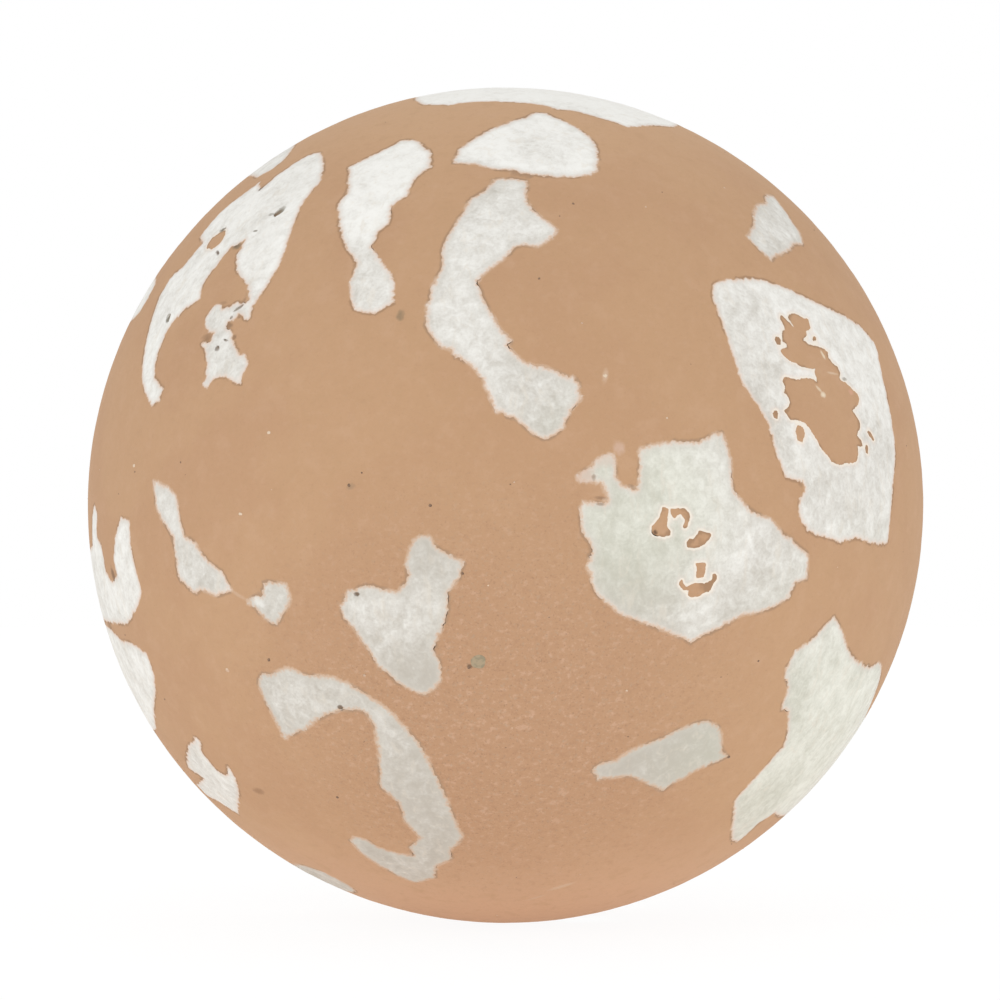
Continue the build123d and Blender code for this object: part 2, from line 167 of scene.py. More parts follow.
HOOK = [
    [(-32, 31), (-30, 34)], [(-25.5, 35), (-20, 37.5)], [(-13, 35.5), (-4, 35), (4, 30)],
    [(11, 25), (17, 12.5), (19.5, -2)], [(20.5, -25)], [(15, -30.5)], [(14, -35)], [(8, -39)], [(5, -46.5)],
    [(-3, -51), (-7, -47)], [(-10, -41.5), (-14.5, -35)], [(-16.5, -27), (-14, -25)],
    [(-10, -25.5), (-6.5, -30)], [(2.5, -33)], [(2.5, -28.5)], [(7.5, -23.5)], [(5, -16)], [(5.5, -8)],
    [(1.5, -2.5)], [(4.5, 11)], [(5, 20)], [(2.5, 24.5)], [(-3, 24.5), (-11, 21.5)], [(-17, 17)],
    [(-25.5, 12.5)],
]
CLEAVER = [
    [(-18, 16), (-11, 14.5)], [(-6, 12)], [(-2.5, 0)], [(2, -1.5), (6, -6)], [(12, -10)], [(15, -15.5)],
    [(8, -17)], [(2, -15)], [(-0.5, -16.5)], [(-6.5, -12.5)], [(-8, -0.5)], [(-15.5, 7.5)],
]
CHIP = [
    [(-8.5, -1), (-5, 1.2)], [(-3, 1)], [(-2, 4.5), (1, 5.2)], [(6, 4.5), (6.8, 0)], [(1, -7.3)], [(-1, -7)],
]
FORK = [
    [(8.5, 16.5)], [(15, 15.5)], [(15, 7)], [(18, -5.5), (11, -11)], [(2, -15.2)], [(-42, -16.5), (-52, -6)],
    [(-46, 6)], [(-35, 6)], [(-26, 8)], [(-22.5, 17), (-18, 20)], [(-14, 17.5)], [(-16, 10.5)], [(-10.5, 8)],
    [(-9, 0.5), (-4, -2.5)], [(1.5, -0.5)], [(0, 3)], [(3, 10)],
]
BLADE = [
    [(22.5, 10.5), (22.5, 6), (17, -1.5)], [(10, -6)], [(-6, -15), (-20, -17)], [(-34, -14), (-43, -4)],
    [(-42, 10)], [(-24, 18.5), (-8, 17.5)], [(4, 14.5), (12, 14)],
]
CLAW = [
    [(6.5, 17)], [(9, 15.5)], [(5, 11.5)], [(7, 5), (10, 3.5)], [(15.5, 7.5), (14.5, 2)], [(9, -4.5)],
    [(-5, -14)], [(-13, -9.5)], [(-24, -9.5)], [(-26, -5)], [(-8, 0.7)], [(-17, 3.5), (-8, 10)], [(-2, 13.5)],
]
PEBBLE = [
    [(7, 1), (4, 7), (-3, 9.5)], [(-14, 7), (-26, 2)], [(-32, -9), (-22, -17)],
    [(-12, -11), (-3, -9.5), (4, -6)],
]
CAP = [
    [(-30, -4.5), (-31, 8)], [(-29, 24), (-22, 33)], [(-8, 29), (14, 35), (36, 30)],
    [(51, 18), (53, 8), (48, -8)], [(37.5, -20)], [(29.5, -27.5)], [(20, -23.5)], [(13.5, -20.5)],
    [(8.5, -20.5), (2, -16.5)], [(-17.5, -11)], [(-23, -11.5)],
]
TONGUE = [
    [(6.5, -2.5), (5.5, 2.5), (-1, 8.5)], [(-14, 15.5), (-27, 18)], [(-36, 9), (-33, -3)], [(-19, -2)],
    [(1.5, -6.5)],
]
SPOT = [
    [(-1.5, -2), (-3.5, 3), (-10, 5.5)], [(-22, 8.5), (-33, 5)], [(-33, -6), (-22, -8.5)],
    [(-10, -8.5), (-3, -6)],
]
BLOT_CORNERS = ((0.5, 0.05), (0.32, 0.42), (-0.2, 0.5), (-0.5, 0.1), (-0.36, -0.4), (0.18, -0.5))


def blot(x, y, width, height, lean=0):
    """The outline of a small round fleck or pit: its middle, width, height and lean in degrees."""
    c, s = cos(radians(lean)), sin(radians(lean))
    spread = [(a * width, b * height) for a, b in BLOT_CORNERS]
    return [[(x + a * c - b * s, y + a * s + b * c)] for a, b in spread]


WISHBONE_PITS = (
    blot(6.8, 17.8, 3.2, 4.8, -25), blot(-16.6, 13.5, 3.6, 2.2, -15), blot(-22, -17.8, 2.4, 3.8, 25),
    blot(9, -29.6, 1.9, 1.6), blot(-13, 30.5, 1.6, 3.4), blot(12.1, -16.6, 3.8, 1.0, 37),
    blot(10.4, -19.7, 1.2, 1.1), blot(11.5, -27, 2.4, 0.7, -15), blot(-10.6, 3.4, 2.6, 0.8, -42),
)
SHIELD_FLECKS = (
    blot(-15.5, -0.5, 1.9, 2.3), blot(-7, -6.2, 3.6, 5.0, -5), blot(27.5, -5.8, 1.5, 4.6, 55),
    blot(24, -10, 2.0, 2.4), blot(8, 22.4, 2.2, 1.1, 25), blot(-8.2, 21.3, 2.2, 2.6),
)
YOKE_PITS = (blot(-11.5, 6, 1.6, 1.2),)
HOOK_PITS = (blot(-4.2, 25.3, 2.0, 1.6), blot(2.5, -32, 1.2, 1.4))

# One white patch: its outline, the longitude and latitude of its middle in degrees (longitude counts to the
# right from the front), how far it is turned, its size, whether it is flipped, how grey it is, how softly its
# edge fades into the tan, its islands of tan, and the shallow pits in it.
Patch = namedtuple(
    "Patch", "outline lon lat turn size flip grey soft islands pits", defaults=(0, 1, False, 0.4, 0.6, (), ())
)
FRONT = (
    Patch(CAP, 8, 76, grey=-0.2, soft=0.3),
    Patch(TONGUE, -66, 53, grey=0.3, soft=0.4),
    Patch(SPOT, -73, 30, grey=0.3, soft=0.4),
    Patch(WISHBONE, -48, 34, grey=0.15, soft=0.3, islands=(WISHBONE_ISLAND,), pits=WISHBONE_PITS),
    Patch(BOOT, -20, 40, grey=-0.1, soft=0.4),
    Patch(DOME, 6, 56, grey=-0.15, soft=0.6),
    Patch(CRESCENT, -1, 25, grey=0.45, soft=0.8),
    Patch(KITE, 53, 40, grey=0.6, soft=0.9),
    Patch(SHIELD, 45, 12, grey=0.25, soft=0.3, islands=(SHIELD_ISLAND, *SHIELD_FLECKS)),
    Patch(BANNER, 23, -3, grey=0.6, soft=0.8, islands=(FLECK_A, FLECK_B, FLECK_C, FLECK_D, FLECK_E)),
    Patch(SAIL, 56, -32, grey=0.55, soft=0.6),
    Patch(WEDGE, 24, -34, grey=1.5, soft=1.0),
    Patch(YOKE, -14, -14, grey=0.85, soft=0.8, pits=YOKE_PITS),
    Patch(HOOK, -22, -38, grey=1.0, soft=1.0, pits=HOOK_PITS),
    Patch(CLEAVER, -45, -4, grey=0.4, soft=0.8),
    Patch(CHIP, -32, -12, grey=0.85, soft=1.0),
    Patch(FORK, -66, -9, grey=0.28, soft=0.3),
    Patch(BLADE, -72, -25, grey=0.33, soft=0.3),
    Patch(CLAW, -61, -40, grey=0.5, soft=0.3),
    Patch(PEBBLE, -60, -62, grey=1.0, soft=1.0),
)
BACK = (
    Patch(DOME, 98, 54, turn=75),
    Patch(YOKE, 95, 22, turn=200, size=1.1),
    Patch(CLEAVER, 98, -6, turn=100, size=1.1),
    Patch(CRESCENT, 128, 12, turn=160),
    Patch(KITE, 140, 50, turn=120, size=1.2),
    Patch(WEDGE, 118, -35, turn=60, flip=True, size=1.4),
    Patch(BOOT, 180, 45, turn=110, flip=True),
    Patch(SAIL, 157, -17, turn=30, flip=True, size=0.75),
    Patch(WEDGE, 199, 3, turn=240, size=1.1),
    Patch(YOKE, 206, -32, turn=20, size=1.2),
    Patch(DOME, 222, 28, turn=300, flip=True),
    Patch(CLEAVER, 238, -20, turn=120, flip=True, size=1.2),
    Patch(CLAW, 225, 62, turn=200, size=1.2),
    Patch(KITE, 250, 4, turn=45, flip=True),
    Patch(PEBBLE, 138, -60, turn=160, size=1.3, grey=0.6),
    Patch(WEDGE, 236, -54, turn=20, size=1.2),
    Patch(CHIP, 104, -79, turn=200, size=1.6),
)

# Places on the edges of the patches where the mix shrank away and left an open crevice: longitude, latitude.
CREVICES = (
    (-20.3, 41.2), (-20.7, 35.2), (-3.9, 29.3), (5.4, 40.9), (0.7, 20.4), (8.7, 12.5), (11.0, 3.7),
    (10.7, -6.0), (29.7, 3.7), (19.1, -3.5), (43.7, -23.6), (45.9, -27.3), (48.6, -31.5), (65.2, -21.7),
    (66.6, -46.5), (-19.4, -11.2), (-7.1, -11.6), (-7.2, -13.9), (-7.8, -15.2), (-9.4, -18.1),
    (-24.0, -26.5), (-20.5, -52.6), (-12.0, -52.4), (-15.9, -55.7), (-67.8, -9.0), (-66.7, -10.3),
    (-78.7, -15.8), (-57.5, -37.6), (-54.0, -37.5), (-73.8, -40.6), (-65.9, -40.1), (-75.8, -43.7),
    (-68.5, -43.2), (-45.8, 43.2), (-42.1, 40.9), (-63.4, 40.0), (-52.2, 35.9), (-62.3, 37.8),
    (-49.9, 36.6), (-53.6, 35.3), (-59.0, 25.3), (-46.2, 22.2), (-43.6, 20.6), (-42.9, 23.6), (-41.0, 26.9),
    (-57.6, 17.9),
)
# Dark and pale grains that lie on their own in the tan: longitude, latitude, half their width.
DARK_GRAINS = (
    (-20.0, 2.5, 0.5), (-9.4, 0.0, 0.45), (37.5, -34.5, 0.5), (11.8, 42.3, 0.4), (4.9, 29.9, 0.35),
    (-34.0, -20.1, 0.5), (-30.1, -41.1, 0.45), (36.9, -20.3, 0.3), (-5.4, -8.5, 0.35), (-4.9, -20.7, 0.5),
)
PALE_GRAINS = (
    (-31.9, 9.2, 0.6), (-58.3, 5.2, 0.7), (-35.9, -1.1, 0.6), (-42.1, -21.7, 0.8), (13.1, 16.4, 0.7),
)
PEBBLE_PLACE = (-3.6, -20.0)  # the one stone that shows in the skin: longitude, latitude
PEBBLE_SIZE = (2.1, 2.0, 0.9)  # half its width, height and depth

# Sizes in millimetres. A noise's scale is how many of its waves there are to a millimetre.
STEP = 0.42  # between neighbouring points of an outline
RAGGED = 0.95  # how far the grit pushes an outline in and out where it is roughest
FINELY_RAGGED = RAGGED / 2  # the same for an island or a pit
GRIT_SCALE, ROUGHER_SCALE = 0.55, 0.11  # of the grit along an outline, and of the change from smooth to rough
EDGE_DEPTH = 2.5  # of the white at its thinnest, along an outline
FLOOR_GAP = 0.3  # under a lump of white
ABOVE = 1.0  # how far a patch's block stands out of the ball, so that it cuts cleanly
BEYOND = 2.0  # how far an island's or pit's block passes its patch's block
# The gap between the white and the tan: its least, what it grows by, and the scale of the noise it grows by.
GAP, GAP_CHANGE, GAP_SCALE = 0.01, 0.12, 0.22
CREVICE_REACH = 1.7  # along the edge, each side of a crevice's middle
CREVICE_WIDTH, CREVICE_SCALE = 0.5, 1.7
PIT_DEPTH = 0.4
SKIN_BAND = 0.2  # a point less than this below the true ball is on its surface
WAVES = ((0.09, 0.07), (0.6, 0.045))  # in the surface: scale and height
WAVE_MIDDLE, WAVE_TOP, WAVE_FOOT = 0.06, -0.02, 0.3  # how deep they lie: in their middle, the least, the most
ROUNDED = 0.7  # how far from an edge the surface begins to fall away to it
FLAT_TOP = 0.35  # the height, as a share of its radius, at which a stone is worn level with the skin
STONE_SUNK = 0.02
STONE_DEPTH = 0.7  # of a grain, as a share of its half width
STONE_CLEAR = 1.2  # of every edge
SKIN_SLACK = 0.4  # between the true ball and a skin that still counts as bare tan
DARK_COUNT, PALE_COUNT = 90, 60


def deselect():
    for thing in bpy.context.selected_objects:
        thing.select_set(False)


def plane_at(lon, lat, turn=0):
    """Outward, rightward and upward directions of the plane that touches the ball there, once turned."""
    a, b, t = radians(lon), radians(lat), radians(turn)
    outward = Vector((sin(a) * cos(b), -cos(a) * cos(b), sin(b)))
    right = Vector((cos(a), sin(a), 0))
    right = right * cos(t) + outward.cross(right) * sin(t)
    return outward, right, outward.cross(right)


def between(a, b, from_knot, to_knot, t):
    share = (t - from_knot) / (to_knot - from_knot)
    return a * (1 - share) + b * share


def curve(p0, p1, p2, p3):
    """Points from p1 up to, and not including, p2, on a smooth curve through all four."""
    knots = [0.0]
    for a, b in ((p0, p1), (p1, p2), (p2, p3)):
        knots.append(knots[-1] + max((b - a).length ** 0.5, 0.01))
    t0, t1, t2, t3 = knots
    count = ceil((p2 - p1).length / STEP)
    for k in range(count):
        t = t1 + (t2 - t1) * k / count
        a, b, c = between(p0, p1, t0, t1, t), between(p1, p2, t1, t2, t), between(p2, p3, t2, t3, t)
        yield between(between(a, b, t0, t2, t), between(b, c, t1, t3, t), t1, t2, t)


def trace(outline, size, flip):
    """The outline as a ring of closely spaced points."""
    ring = []
    for run, following in zip(outline, outline[1:] + outline[:1]):
        points = [Vector(p) for p in run] + [Vector(following[0])]
        points = [points[0] * 2 - points[1]] + points + [points[-1] * 2 - points[-2]]
        for k in range(1, len(points) - 2):
            ring.extend(curve(*points[k - 1 : k + 3]))
    side = -1 if flip else 1
    return [Vector((p.x * side, p.y)) * size for p in ring]


def inward(ring):
    """The direction into the outline at each of its points."""
    turning = sum(a.x * b.y - b.x * a.y for a, b in zip(ring, ring[1:] + ring[:1]))
    side = 1 if turning > 0 else -1
    for before, after in zip(ring[-1:] + ring[:-1], ring[1:] + ring[:1]):
        along = (after - before).normalized()
        yield Vector((-along.y, along.x)) * side


def on_plane(patch, point):
    """A point of the patch's outline in space, on the plane that touches the ball."""
    outward, right, up = plane_at(patch.lon, patch.lat, patch.turn)
    return outward * RADIUS + right * point.x + up * point.y


def direction(lon, lat):
    return plane_at(lon, lat)[0]


crevice_tree = KDTree(len(CREVICES))
for index, place in enumerate(CREVICES):
    crevice_tree.insert(direction(*place) * RADIUS, index)
crevice_tree.balance()


def opened(spot):
    """How wide the edge stands open at a point of it, in mm."""
    wander = 0.5 + 0.5 * noise.noise(spot * GAP_SCALE)
    width = GAP + GAP_CHANGE * wander**4
    away = crevice_tree.find(spot)[2]
    if away < CREVICE_REACH:
        uneven = 0.6 + 0.4 * noise.noise(spot * CREVICE_SCALE)
        width += CREVICE_WIDTH * (1 - (away / CREVICE_REACH) ** 2) * uneven
    return width


def edge(patch, outline, way, raggedness):
    """The edges of a hollow in the tan and of the white in it: way is 1 for a patch, -1 for an island."""
    ring = trace(outline, patch.size, patch.flip)
    hollow, white = [], []
    for point, into in zip(ring, inward(ring)):
        spot = on_plane(patch, point)
        rough = 0.55 + 0.45 * noise.noise(spot * ROUGHER_SCALE)
        push = noise.fractal(spot * GRIT_SCALE, 0.45, 2.1, 4) * raggedness * rough
        point = point + into * push
        hollow.append(point)
        white.append(point + into * opened(spot.normalized() * RADIUS) * way)
    return hollow, white


def prism(patch, foot, head, low, high):
    """A closed block from an outline at its foot to one at its head, on planes facing the ball's centre."""
    bpy.ops.mesh.primitive_circle_add(vertices=len(foot), fill_type="NGON")
    block = bpy.context.object
    for vertex, point in zip(block.data.vertices, foot):
        vertex.co = on_plane(patch, point) * MM * low / RADIUS
    bpy.ops.object.mode_set(mode="EDIT")
    bpy.ops.mesh.select_all(action="SELECT")
    bpy.ops.mesh.extrude_region_move()
    bpy.ops.transform.resize(value=(high / low,) * 3, center_override=(0, 0, 0))
    bpy.ops.object.mode_set(mode="OBJECT")
    for vertex, point in zip(block.data.vertices[len(foot) :], head):
        vertex.co = on_plane(patch, point) * MM * high / RADIUS
    bpy.ops.object.mode_set(mode="EDIT")
    bpy.ops.mesh.select_all(action="SELECT")
    bpy.ops.mesh.normals_make_consistent(inside=False)
    bpy.ops.object.mode_set(mode="OBJECT")
    block.select_set(False)
    return block


def joined(pieces, name):
    for piece in pieces:
        piece.select_set(True)
    bpy.context.view_layer.objects.active = pieces[0]
    if len(pieces) > 1:
        bpy.ops.object.join()
    pieces[0].name = pieces[0].data.name = name
    pieces[0].select_set(False)
    return pieces[0]


def carve(piece, tool, operation):
    cut = piece.modifiers.new("carve", "BOOLEAN")
    cut.operation = operation
    cut.solver = "MANIFOLD"
    cut.object = tool
    bpy.context.view_layer.objects.active = piece
    bpy.ops.object.modifier_apply(modifier=cut.name)


def round_ball(subdivisions, name):
    bpy.ops.mesh.primitive_ico_sphere_add(subdivisions=subdivisions, radius=RADIUS * MM)
    ball = bpy.context.object
    ball.name = ball.data.name = name
    ball.select_set(False)
    return ball


def rims_of(patch, ring, soft):
    """The points of an edge, on the ball, with the greyness of its patch and how soft the edge is."""
    return [(on_plane(patch, point).normalized() * RADIUS, patch.grey, soft) for point in ring]


deselect()
hollows, fills, islands, gaps, rims = [], [], [], [], []
for patch in FRONT + BACK:
    hollow, white = edge(patch, patch.outline, 1, RAGGED)
    reach = max(point.length for point in hollow)
    low = RADIUS * RADIUS / hypot(RADIUS, reach) - EDGE_DEPTH
    hollows.append(prism(patch, hollow, hollow, low, RADIUS + ABOVE))
    fills.append(prism(patch, hollow, white, low + FLOOR_GAP, RADIUS + ABOVE))
    rims += rims_of(patch, hollow, patch.soft)
    for outline in patch.islands:
        hollow, white = edge(patch, outline, -1, FINELY_RAGGED)
        islands.append(prism(patch, hollow, hollow, low - BEYOND, RADIUS + BEYOND))
        gaps.append(prism(patch, hollow, white, low - BEYOND, RADIUS + BEYOND))
        rims += rims_of(patch, hollow, 0.0)
    for outline in patch.pits:
        ring = edge(patch, outline, 1, FINELY_RAGGED)[0]
        away = sum(point.length for point in ring) / len(ring)
        pit_floor = (RADIUS - PIT_DEPTH) * RADIUS / hypot(RADIUS, away)
        gaps.append(prism(patch, ring, ring, pit_floor, RADIUS + BEYOND))

hollow_blocks = joined(hollows, "hollow_blocks")
fill_blocks = joined(fills, "fill_blocks")
tan_islands = joined(islands, "tan_islands")
fill_gaps = joined(gaps, "fill_gaps")
carve(hollow_blocks, tan_islands, "DIFFERENCE")
carve(fill_blocks, fill_gaps, "DIFFERENCE")

skin = round_ball(7, "tan_skin")
carve(skin, hollow_blocks, "DIFFERENCE")
lumps = round_ball(8, "white_lumps")
carve(lumps, fill_blocks, "INTERSECT")
for tool in (hollow_blocks, fill_blocks, tan_islands, fill_gaps):
    bpy.data.objects.remove(tool, do_unlink=True)

rim_tree = KDTree(len(rims))
for index, rim in enumerate(rims):
    rim_tree.insert(rim[0], index)
rim_tree.balance()


def weather(piece, sink, soften):
    """Lays the surface just under the true ball, lower towards the edges, and notes how near each edge is."""
    nearness = piece.data.attributes.new("edge_mm", "FLOAT", "POINT")
    greyness = piece.data.attributes.new("grey", "FLOAT", "POINT")
    softness = piece.data.attributes.new("soft", "FLOAT", "POINT")
    for index, vertex in enumerate(piece.data.vertices):
        spot = vertex.co / MM
        where, rim, away = rim_tree.find(spot.normalized() * RADIUS)
        nearness.data[index].value = away
        greyness.data[index].value, softness.data[index].value = rims[rim][1:]
        if spot.length > RADIUS - SKIN_BAND:
            wave = sum(noise.fractal(spot * scale, 0.8, 2.0, 3) * height for scale, height in WAVES)
            low = sink + min(max(wave + WAVE_MIDDLE, WAVE_TOP), WAVE_FOOT)
            low += soften * max(0, 1 - away / ROUNDED) ** 2
            vertex.co = spot * (1 - low / RADIUS) * MM


weather(skin, 0.03, 0.02)
weather(lumps, 0.04, 0.06)
for piece in (skin, lumps):
    piece.select_set(True)
    bpy.context.view_layer.objects.active = piece
    bpy.ops.object.shade_smooth_by_angle(angle=radians(35))
    piece.select_set(False)


def grain(lon, lat, width, height, depth, name, detail=2, knocks=0.5):
    """A stone bedded in the skin, its top level with it, its surface knocked about."""
    outward, right, up = plane_at(lon, lat)
    bpy.ops.mesh.primitive_ico_sphere_add(subdivisions=detail, radius=1)
    stone = bpy.context.object
    for vertex in stone.data.vertices:
        co = vertex.co * (1 + knocks * noise.noise(vertex.co * 1.3 + outward * 40))
        level = RADIUS - STONE_SUNK + depth * (min(co.z, FLAT_TOP) - FLAT_TOP)
        vertex.co = (outward * level + right * co.x * width + up * co.y * height) * MM
    stone.name = stone.data.name = name
    bpy.ops.object.shade_smooth()
    stone.select_set(False)
    return stone


def on_tan(lon, lat):
    """Whether a place is bare tan, clear of every edge."""
    spot = direction(lon, lat) * RADIUS
    away = rim_tree.find(spot)[2]
    reached, place, _normal, _face = skin.closest_point_on_mesh(spot * MM)
    return reached and away > STONE_CLEAR and (place - spot * MM).length < SKIN_SLACK * MM


def scattered(places, tall, count, widths, flattest, name):
    """The grains that have a place of their own, and more anywhere on bare tan until there are enough."""
    grains = [grain(lon, lat, width, width * tall, width * STONE_DEPTH, name) for lon, lat, width in places]
    while len(grains) < count:
        lon, lat, width = chance.uniform(-180, 180), chance.triangular(-80, 80, 0), chance.uniform(*widths)
        if on_tan(lon, lat):
            height = width * chance.uniform(flattest, 1)
            grains.append(grain(lon, lat, width, height, width * STONE_DEPTH, name, 1))
    return joined(grains, name + "s")


chance = Random(7)
dark_grains = scattered(DARK_GRAINS, 1, DARK_COUNT, (0.14, 0.34), 0.7, "dark_grain")
pale_grains = scattered(PALE_GRAINS, 0.8, PALE_COUNT, (0.16, 0.45), 0.6, "pale_grain")
pebble = grain(*PEBBLE_PLACE, *PEBBLE_SIZE, "pebble", 4, 0.2)


def tone(red, green, blue):
    """A colour as it is seen, from 0 to 255, turned into the light it gives back."""
    parts = [c / 255 for c in (red, green, blue)]
    return tuple(c / 12.92 if c <= 0.04045 else ((c + 0.055) / 1.055) ** 2.4 for c in parts) + (1,)


class Value:
    """A socket that takes part in sums: each sum adds its Math node."""

    def __init__(self, tree, socket):
        self.tree, self.socket = tree, socket

    def math(self, operation, *others):
        made = self.tree.nodes.new("ShaderNodeMath")
        made.operation = operation
        for slot, value in enumerate(others):
            if isinstance(value, Value):
                self.tree.links.new(value.socket, made.inputs[slot])
            else:
                made.inputs[slot].default_value = value
        return Value(self.tree, made.outputs[0])

    def __add__(self, other):
        return self.math("ADD", self, other)

    __radd__ = __add__

    def __sub__(self, other):
        return self.math("SUBTRACT", self, other)

    def __rsub__(self, other):
        return self.math("SUBTRACT", other, self)

    def __mul__(self, other):
        return self.math("MULTIPLY", self, other)

    __rmul__ = __mul__

    def __truediv__(self, other):
        return self.math("DIVIDE", self, other)

    def __pow__(self, other):
        return self.math("POWER", self, other)

    def ramp(self, low, high):
        """0 below low, 1 above high, and smooth between; turned round where low is above high."""
        made = self.tree.nodes.new("ShaderNodeMapRange")
        made.interpolation_type = "SMOOTHSTEP"
        flip = low > high
        self.tree.links.new(self.socket, made.inputs["Value"])
        made.inputs["From Min"].default_value = min(low, high)
        made.inputs["From Max"].default_value = max(low, high)
        made.inputs["To Min"].default_value = 1.0 if flip else 0.0
        made.inputs["To Max"].default_value = 0.0 if flip else 1.0
        return Value(self.tree, made.outputs["Result"])


class Finish:
    """A material and the nodes in it."""

    def __init__(self, name):
        self.material = bpy.data.materials.new(name)
        self.material.use_nodes = True
        self.tree = self.material.node_tree
        self.shader = self.tree.nodes["Principled BSDF"]
        self.place = self.node("ShaderNodeTexCoord", {}, {}, "Object")
        self.mm = self.node("ShaderNodeVectorMath", {"operation": "SCALE"}, {0: self.place, "Scale": 1 / MM})
        self.ragged = self.cloud(0.8, 3, 0.6, 50.0) * 1.2

    def node(self, kind, settings, values, out=0):
        made = self.tree.nodes.new(kind)
        for key, value in settings.items():
            setattr(made, key, value)
        for key, value in values.items():
            if isinstance(value, Value):
                self.tree.links.new(value.socket, made.inputs[key])
            else:
                made.inputs[key].default_value = value
        return Value(self.tree, made.outputs[out])

    def cloud(self, scale, detail=4, rough=0.55, shift=0.0, warp=0.0, stretch=None):
        where = self.mm
        if shift or stretch:
            settings = {"vector_type": "POINT"}
            moved = (shift, shift * 0.7, -shift)
            values = {"Vector": where, "Location": moved, "Scale": stretch or (1, 1, 1)}
            where = self.node("ShaderNodeMapping", settings, values)
        values = {"Vector": where, "Scale": scale, "Detail": detail, "Roughness": rough, "Distortion": warp}
        return self.node("ShaderNodeTexNoise", {}, values)

    def mix(self, share, first, second):
        values = {0: share, 6: first, 7: second}
        return self.node("ShaderNodeMix", {"data_type": "RGBA"}, values, 2)

    def stored(self, name):
        return self.node("ShaderNodeAttribute", {"attribute_name": name}, {}, "Fac")

    def measure(self, operation, *places):
        """The length of a vector, or the dot product of or the distance between two."""
        return self.node("ShaderNodeVectorMath", {"operation": operation}, dict(enumerate(places)), "Value")

    def depth(self):
        """How far below the true ball a point lies, in mm."""
        return RADIUS - self.measure("LENGTH", self.mm)

    def near(self, lon, lat, reach):
        """1 at a place on the ball, and less away from it, down to 0 at its reach."""
        middle = direction(lon, lat) * RADIUS
        return self.measure("DISTANCE", self.mm, middle).ramp(reach, reach * 0.25)

    def smudge(self, lon, lat, x, y, width, height, lean, strength):
        """A small stain: where the plane it is placed on touches the ball, then its middle, half width, half
        height and lean on that plane."""
        outward, right, up = plane_at(lon, lat)
        middle = (outward * RADIUS + right * x + up * y).normalized() * RADIUS
        c, s = cos(radians(lean)), sin(radians(lean))
        across, along = right * c + up * s, up * c - right * s
        shift = self.node("ShaderNodeVectorMath", {"operation": "SUBTRACT"}, {0: self.mm, 1: middle}, 0)
        sideways = self.measure("DOT_PRODUCT", shift, across / width)
        lengthwise = self.measure("DOT_PRODUCT", shift, along / height)
        reach = self.measure("LENGTH", shift).ramp(*STAIN_REACH)
        return (sideways**2 + lengthwise**2 + self.ragged).ramp(*STAIN_EDGE) * reach * strength

    def stained(self, colour, stains):
        for *stain, hue in stains:
            colour = self.mix(self.smudge(*stain), colour, hue)
        return colour

    def bump(self, height, distance, strength):
        values = {"Height": height, "Distance": distance * MM, "Strength": strength}
        return self.node("ShaderNodeBump", {}, values, "Normal")

    def feed(self, socket, value):
        self.tree.links.new(value.socket, self.shader.inputs[socket])


TAN, TAN_DEEP, PAINTED_MIDDLE_SHADE = tone(197, 158, 123), tone(194, 154, 120), tone(188, 149, 114)
PAINTED_TOP_LIGHT, PAINTED_FOOT_LIGHT, TAN_WORN = tone(207, 169, 133), tone(215, 177, 146), tone(186, 146, 114)
BLOTCH_PALE, BLOTCH_DEEP = tone(205, 168, 138), tone(190, 152, 116)
SAND_PALE, SAND_DEEP, SAND_GREY = tone(210, 174, 150), tone(176, 136, 106), tone(180, 158, 136)
GRIT_DARK, GRIT_PALE = tone(150, 114, 88), tone(216, 186, 164)
EDGE_DARK_LINE, PAINTED_HOLLOW_SHADE_TAN, PAINTED_PIT_SHADE_WHITE = tone(152, 120, 92), tone(140, 108, 84), tone(140, 120, 98)
WHITE, WARM_GREY, STREAK = tone(249, 248, 243), tone(192, 186, 175), tone(226, 217, 202)
GREENISH_WHITE, GREENISH_GREY = tone(243, 243, 233), tone(197, 196, 181)
RIM_SHADE, RIM_BLUSH, RIM_PALE, RIM_TAN, HALO = (
    tone(203, 198, 188), tone(238, 221, 210), tone(235, 216, 201), tone(208, 173, 142), tone(247, 240, 226)
)
BROWN, GREY_BROWN = tone(112, 88, 68), tone(116, 106, 86)
CREAM, IVORY = tone(220, 196, 174), tone(234, 218, 192)

PAINTED_SHADE_PLACE = (8, 0, 115)  # of the painted shade, a deeper tan that evens out the lamps' light in the middle of the front: longitude, latitude and reach
WORN_PLACE = (-2, -30, 88)  # where the sand stands out most
PAINTED_TOP_BAND, PAINTED_FOOT_BAND = (78, 122), (-84, -122)  # the heights between which painted light turns the tan paler, at the top and at the foot
STAIN_REACH = (12, 8)  # mm from its middle at which a stain has ended, and begins to end
STAIN_EDGE = (1.7, 0.5)  # the same for its ragged outline, in squares of its half width and height
